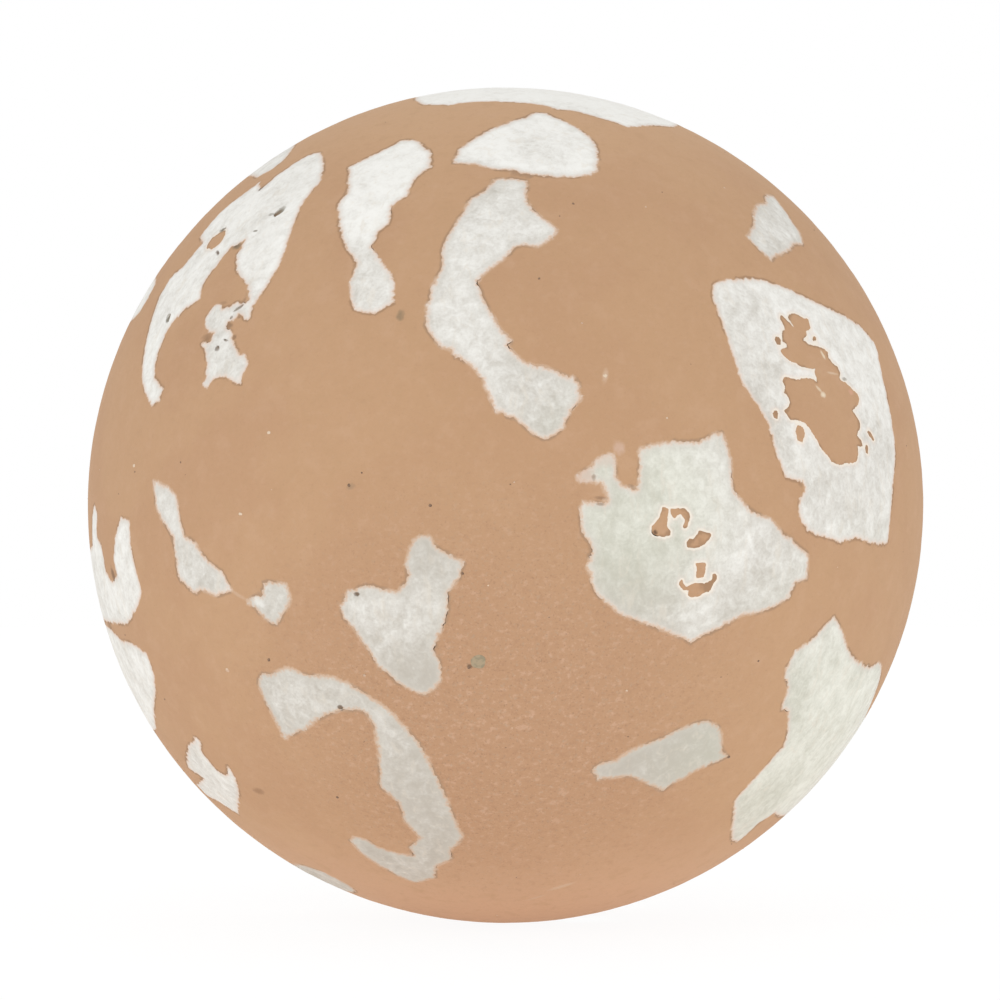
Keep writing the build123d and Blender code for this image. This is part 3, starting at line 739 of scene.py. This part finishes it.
# Stains: longitude and latitude of the plane that each is placed on, its middle, half width, half height and
# lean there, its strength and its colour.
TAN_STAINS = (
    (-14.7, 24.6, 0, 0, 1.5, 2.0, 0, 0.85, tone(146, 126, 100)),
    (-48.2, -40.8, 0, 0, 3.0, 1.6, 0, 0.6, tone(150, 114, 86)),
    (-20, 2.5, 0.6, -0.4, 1.6, 1.0, 20, 0.5, tone(150, 128, 104)),
    (13.1, 16.4, 0, 0, 1.1, 2.6, -12, 0.55, tone(218, 192, 168)),
    (9.7, -64.7, 0, 0, 4.5, 0.8, 44, 0.45, tone(210, 184, 158)),
    (15.4, -61.0, 0, 0, 5.2, 1.3, 40, 0.6, tone(212, 188, 162)),
    (-48, 34, -2.6, 5.0, 2.6, 1.8, 0, 0.9, GREY_BROWN),
    (-48, 34, 3, -25.9, 3.0, 1.4, 0, 0.4, BROWN),
    (-48, 34, 10.8, -22.1, 1.7, 1.1, 0, 0.5, BROWN),
    (-48, 34, 13.5, -19.2, 0.9, 1.1, 0, 0.45, BROWN),
    (-48, 34, 14.4, -26, 1.3, 1.0, 0, 0.5, BROWN),
    (-48, 34, 4.4, -14.9, 2.2, 0.7, 0, 0.25, BROWN),
    (45, 12, 9.8, 17.4, 0.7, 1.7, 22, 0.85, IVORY),
    (45, 12, 5.4, 5.2, 1.4, 1.1, 0, 0.9, IVORY),
    (45, 12, 3.9, 6.9, 0.6, 1.8, 48, 0.6, IVORY),
    (45, 12, 12.2, 11.9, 3.2, 0.5, -4, 0.4, IVORY),
    (45, 12, -6.3, 19.9, 1.0, 0.9, 0, 0.9, IVORY),
    (45, 12, 19.8, 6.7, 1.7, 1.0, -10, 0.5, tone(222, 172, 150)),
    (23, -3, -19, 22.6, 2.0, 2.4, 0, 0.6, tone(214, 184, 166)),
    (23, -3, -24.2, 8.5, 2.4, 0.6, -5, 0.5, BROWN),
    (23, -3, -15.2, 11.5, 1.8, 0.7, -20, 0.5, BROWN),
    (23, -3, -8.5, -0.9, 0.9, 0.9, 0, 0.85, tone(80, 60, 46)),
    (-32, -12, -11.4, 1.1, 4.6, 0.7, -26, 0.3, CREAM),
    (-66, -9, -1.8, -1.0, 1.6, 3.8, 25, 0.7, BROWN),
    (-3.6, -20, -2.4, -1.3, 0.9, 0.9, 0, 0.8, BROWN),
)
# Where the white turns greenish: longitude, latitude and reach. Where it is greyer: the same, and how much.
GREENISH = ((56, -32, 75), (16, 0, 42), (178, 40, 60), (130, 0, 60))
GREYED = (
    (5, 14.5, 26, 0.4), (19, -14, 34, 0.15), (56, 1, 36, 0.3), (-17, -44, 44, 0.3), (-21, 29, 24, 0.45),
    (-42, 18.5, 32, 0.35), (-10, -22, 20, 0.45), (12.5, -2, 36, 0.2), (-43.5, -8, 20, 0.35),
    (31.5, 20, 30, 0.3), (34, 9, 18, 0.5), (42, 0.5, 20, 0.25), (45.5, -26, 18, 0.35), (54, -43, 20, 0.3),
    (22, 59, 20, 0.12), (8, 53, 14, 0.3), (-8.5, 47, 16, 0.5), (-10, -5, 18, 0.4), (16.5, -12.5, 20, 0.3),
    (34, -14, 18, 0.25),
)
WHITE_STAINS = (
    (-48, 34, 6.8, 17.8, 1.7, 2.4, -25, 0.9, GREY_BROWN),
    (-48, 34, 4, 16.6, 1.5, 0.8, 0, 0.6, GREY_BROWN),
    (-48, 34, -16.4, 12.8, 1.9, 1.3, 0, 0.9, GREY_BROWN),
    (-48, 34, -22, -18, 1.3, 2.0, 25, 0.9, GREY_BROWN),
    (-48, 34, -13, 30.5, 1.1, 2.0, 0, 0.75, GREY_BROWN),
    (-48, 34, -10.6, 3.2, 2.0, 0.7, -35, 0.8, BROWN),
    (-48, 34, 9, -29.6, 1.3, 1.1, 0, 0.7, BROWN),
    (-48, 34, 12.1, -16.5, 2.3, 0.8, 37, 0.4, BROWN),
    (-48, 34, 10.4, -19.7, 0.9, 0.8, 0, 0.3, BROWN),
    (-48, 34, 2, 10.2, 1.2, 0.5, 0, 0.8, GREY_BROWN),
    (-48, 34, -8.7, -8.8, 0.7, 1.3, 30, 0.8, BROWN),
    (-48, 34, 11.5, -27, 1.6, 0.6, -15, 0.3, BROWN),
    (23, -3, -29.2, 14.7, 3.8, 2.8, 0, 0.65, tone(212, 184, 166)),
    (23, -3, -22.8, 19, 3.4, 2.4, 20, 0.5, tone(212, 190, 174)),
    (23, -3, -26.5, 14.4, 0.7, 1.2, 0, 0.8, tone(160, 140, 122)),
    (23, -3, -24.5, 6.8, 1.5, 0.6, -5, 0.5, BROWN),
    (45, 12, 17.8, 10.5, 1.5, 0.7, 0, 0.6, GREY_BROWN),
    (-32, -12, -4.1, -0.7, 2.6, 1.7, -38, 0.5, tone(247, 246, 241)),
    (-14, -14, -11.5, 6, 1.0, 0.7, 0, 0.9, BROWN),
    (-22, -38, -4.2, 25.3, 1.1, 0.9, 0, 0.9, BROWN),
)


def tan_finish():
    f = Finish("tan_cement_finish")
    from_edge, depth, soft = f.stored("edge_mm"), f.depth(), f.stored("soft")
    cloud, blotch, speckle = f.cloud(0.03, 3), f.cloud(0.16, 5, 0.6, 9.0), f.cloud(1.1, 3, 0.6, 31.0)
    sand, grit = f.cloud(0.5, 3, 0.55, 17.0, stretch=(1, 1, 1.35)), f.cloud(1.7, 2, 0.5, 3.0)
    worn, height = f.near(*WORN_PLACE), f.measure("DOT_PRODUCT", f.mm, (0, 0, 1))
    strength = 0.2 + 0.8 * worn

    colour = f.mix(cloud.ramp(0.4, 0.62), TAN, TAN_DEEP)
    for share, hue in (
        # painted shade: a deeper tan in the middle of the front, where the lamps light it most
        (f.near(*PAINTED_SHADE_PLACE) * 0.35, PAINTED_MIDDLE_SHADE),
        # painted light: the tan paler at the top and at the foot, which the lamps and the shaded floor light
        # less
        (height.ramp(*PAINTED_TOP_BAND) * 0.8, PAINTED_TOP_LIGHT),
        (height.ramp(*PAINTED_FOOT_BAND) * 0.9, PAINTED_FOOT_LIGHT),
        (blotch.ramp(0.5, 0.7) * 0.25, BLOTCH_PALE),
        (blotch.ramp(0.48, 0.32) * 0.3, BLOTCH_DEEP),
        (worn * 0.8, TAN_WORN),
        (sand.ramp(0.54, 0.7) * strength * 0.42, SAND_PALE),
        (sand.ramp(0.46, 0.3) * strength * 0.5, SAND_DEEP),
        (speckle.ramp(0.55, 0.7) * strength * 0.45, SAND_GREY),
        (grit.ramp(0.6, 0.72) * strength * 0.5, GRIT_DARK),
        (grit.ramp(0.4, 0.28) * strength * 0.25, GRIT_PALE),
    ):
        colour = f.mix(share, colour, hue)
    colour = f.stained(colour, TAN_STAINS)
    patchy, fringe = f.cloud(0.13, 3, 0.5, 5.0), f.cloud(1.1, 4, 0.6, 13.0)
    cream_edge = (from_edge / (0.2 + 0.5 * soft) + fringe * 1.6).ramp(1.9, 0.7) * 0.6 * soft
    # a patchy darker line on the tan, close along the white's edges
    dark_line = (from_edge + fringe * 0.7).ramp(1.25, 0.5) * patchy.ramp(0.44, 0.56) * 0.65
    colour = f.mix(cream_edge, colour, CREAM)
    colour = f.mix(dark_line, colour, EDGE_DARK_LINE)
    # painted shade: the tan darker the deeper it lies below the ball's surface, in crevices and hollows
    colour = f.mix(depth.ramp(0.38, 0.9), colour, PAINTED_HOLLOW_SHADE_TAN)
    f.feed("Base Color", colour)

    f.feed("Normal", f.bump(sand * 0.6 + speckle * 0.3 + grit * 0.25, 0.2, 0.5))
    f.feed("Roughness", 0.8 + 0.14 * blotch)
    f.shader.inputs["Specular IOR Level"].default_value = 0.3
    return f.material


def white_finish():
    f = Finish("white_cement_finish")
    from_edge, depth, grey, soft = f.stored("edge_mm"), f.depth(), f.stored("grey"), f.stored("soft")
    cloud, curd = f.cloud(0.09, 5, 0.6, 7.0, 0.6), f.cloud(0.33, 5, 0.62, 23.0, 0.5)
    streak = f.cloud(0.3, 4, 0.6, 3.0, 1.0, stretch=(1, 1, 0.3))
    fleck = f.cloud(1.2, 3, 0.6, 41.0)

    mottle = grey * 0.8 + (cloud - 0.5) * 1.05 + (curd - 0.5) * 1.35 + (fleck - 0.5) * 0.6 + 0.12
    for lon, lat, reach, amount in GREYED:
        mottle = mottle + f.near(lon, lat, reach) * amount
    green = sum(f.near(*place) for place in GREENISH)
    lightest, darkest = f.mix(green, WHITE, GREENISH_WHITE), f.mix(green, WARM_GREY, GREENISH_GREY)
    colour = f.mix(mottle.ramp(-0.25, 1.5), lightest, darkest)
    colour = f.mix(streak.ramp(0.52, 0.7) * 0.3, colour, STREAK)
    feather, patchy = f.cloud(1.1, 4, 0.6, 13.0), f.cloud(0.1, 3, 0.5, 29.0)
    pale = grey.ramp(1.1, 0.3)
    for share, hue in (
        ((from_edge / (1.5 + 2.1 * soft) + 0.6 * patchy).ramp(1.3, 0.2) * (0.45 + 0.2 * soft), RIM_SHADE),
        ((from_edge / 1.3 + feather * 1.2).ramp(2.1, 0.8) * (0.3 + patchy) * pale * 0.5, RIM_BLUSH),
        ((from_edge / (0.9 + 0.5 * soft) + feather * 1.9).ramp(2.0, 1.0) * (0.15 + 0.5 * pale), RIM_PALE),
        ((from_edge / (0.5 + 1.1 * soft) + feather * 1.6).ramp(1.55, 0.7) * 0.85, RIM_TAN),
        ((from_edge + feather * 0.5).ramp(1.2, 0.5) * soft.ramp(0.1, 0.0) * 0.7, HALO),
    ):
        colour = f.mix(share, colour, hue)
    # painted shade: the white darker and browner the deeper it lies, in its pits and in the gaps round its
    # islands
    colour = f.mix(depth.ramp(0.32, 0.62), f.stained(colour, WHITE_STAINS), PAINTED_PIT_SHADE_WHITE)
    f.feed("Base Color", colour)

    f.feed("Normal", f.bump(curd * 0.6 + fleck * 0.3, 0.25, 0.5))
    f.feed("Roughness", 0.72 + 0.16 * curd)
    f.shader.inputs["Specular IOR Level"].default_value = 0.3
    return f.material


def stone_finish(name, first, second, scale):
    f = Finish(name)
    mottle = f.cloud(scale, 3, shift=2.0)
    f.feed("Base Color", f.mix(mottle.ramp(0.42, 0.58), first, second))
    f.feed("Roughness", 0.6 + 0.2 * mottle)
    f.feed("Normal", f.bump(mottle, 0.1, 0.4))
    return f.material


def dress(piece, material, slot_name, *stands_for):
    piece.data.materials.clear()
    piece.data.materials.append(material)
    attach(piece, "root")
    if stands_for:
        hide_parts(*stands_for)


dress(skin, tan_finish(), "tan_cement", "ball")
dress(lumps, white_finish(), "white_cement", "white_patches")
dress(dark_grains, stone_finish("dark_grit", tone(112, 90, 72), tone(142, 114, 90), 1.2), "tan_cement")
dress(pale_grains, stone_finish("pale_grit", tone(226, 205, 180), tone(210, 178, 150), 1.2), "tan_cement")
dress(pebble, stone_finish("grey_pebble", tone(150, 138, 112), tone(170, 152, 124), 0.7), "tan_cement")

# The floor, the light and the camera, in metres.
PAPER_WIDTH, PAPER_GLOW, PAPER_SHADOW = 6, 0.37, 0.12  # how bright it glows, how much of the shadow shows
SKY_LIGHT = 0.83
LAMPS = (  # name, place, width and watts
    ("key", (-0.8, -1.9, 0.9), 1.2, 3.6),
    ("fill", (0.9, -1.9, 0.1), 0.9, 3.2),
)
CAMERA_AWAY, CAMERA_LENS, CAMERA_FILM = 1.2523, 150, 36
CAMERA_SHIFT = (-0.0055, 0.0052)

bpy.ops.mesh.primitive_plane_add(size=PAPER_WIDTH, location=(0, 0, cad_box[0][2]))
floor = bpy.context.object
floor.name = "floor"
paper = bpy.data.materials.new("white_paper")
paper.use_nodes = True
floor.data.materials.append(paper)


def seen_white(tree, base, output, base_share):
    """Shows the base to the object and mostly plain white to the camera."""
    glow = tree.nodes.new("ShaderNodeEmission" if output.type != "OUTPUT_WORLD" else "ShaderNodeBackground")
    glow.inputs["Color"].default_value = (1, 1, 1, 1)
    glow.inputs["Strength"].default_value = 1
    ray = tree.nodes.new("ShaderNodeLightPath")
    looked_at = Value(tree, ray.outputs["Is Camera Ray"])
    for kind in ("Is Glossy Ray", "Is Transmission Ray"):
        looked_at = looked_at.math("MAXIMUM", looked_at, Value(tree, ray.outputs[kind]))
    mixer = tree.nodes.new("ShaderNodeMixShader")
    tree.links.new((looked_at * (1 - base_share)).socket, mixer.inputs[0])
    tree.links.new(base.outputs[0], mixer.inputs[1])
    tree.links.new(glow.outputs[0], mixer.inputs[2])
    tree.links.new(mixer.outputs[0], output.inputs["Surface"])


plain = paper.node_tree.nodes["Principled BSDF"]
plain.inputs["Base Color"].default_value = (0.85, 0.85, 0.85, 1)
plain.inputs["Roughness"].default_value = 1
plain.inputs["Specular IOR Level"].default_value = 0
plain.inputs["Emission Color"].default_value = (1, 1, 1, 1)
plain.inputs["Emission Strength"].default_value = PAPER_GLOW
seen_white(paper.node_tree, plain, paper.node_tree.nodes["Material Output"], PAPER_SHADOW)

world = bpy.data.worlds.new("studio")
world.use_nodes = True
bpy.context.scene.world = world
sky = world.node_tree.nodes["Background"]
sky.inputs["Color"].default_value = (1, 1, 1, 1)
sky.inputs["Strength"].default_value = SKY_LIGHT
seen_white(world.node_tree, sky, world.node_tree.nodes["World Output"], 0.0)

for name, place, width, watts in LAMPS:
    bpy.ops.object.light_add(type="AREA", location=place)
    lamp = bpy.context.object
    lamp.name, lamp.data.size, lamp.data.energy = name, width, watts
    lamp.rotation_euler = (-Vector(place)).to_track_quat("-Z", "Y").to_euler()

bpy.ops.object.camera_add(location=(0, -CAMERA_AWAY, 0), rotation=(radians(90), 0, 0))
camera = bpy.context.object
camera.data.lens = CAMERA_LENS
camera.data.sensor_width = CAMERA_FILM
camera.data.shift_x, camera.data.shift_y = CAMERA_SHIFT
camera.data.dof.use_dof = False
bpy.context.scene.camera = camera
bpy.context.scene.view_settings.view_transform = "Standard"
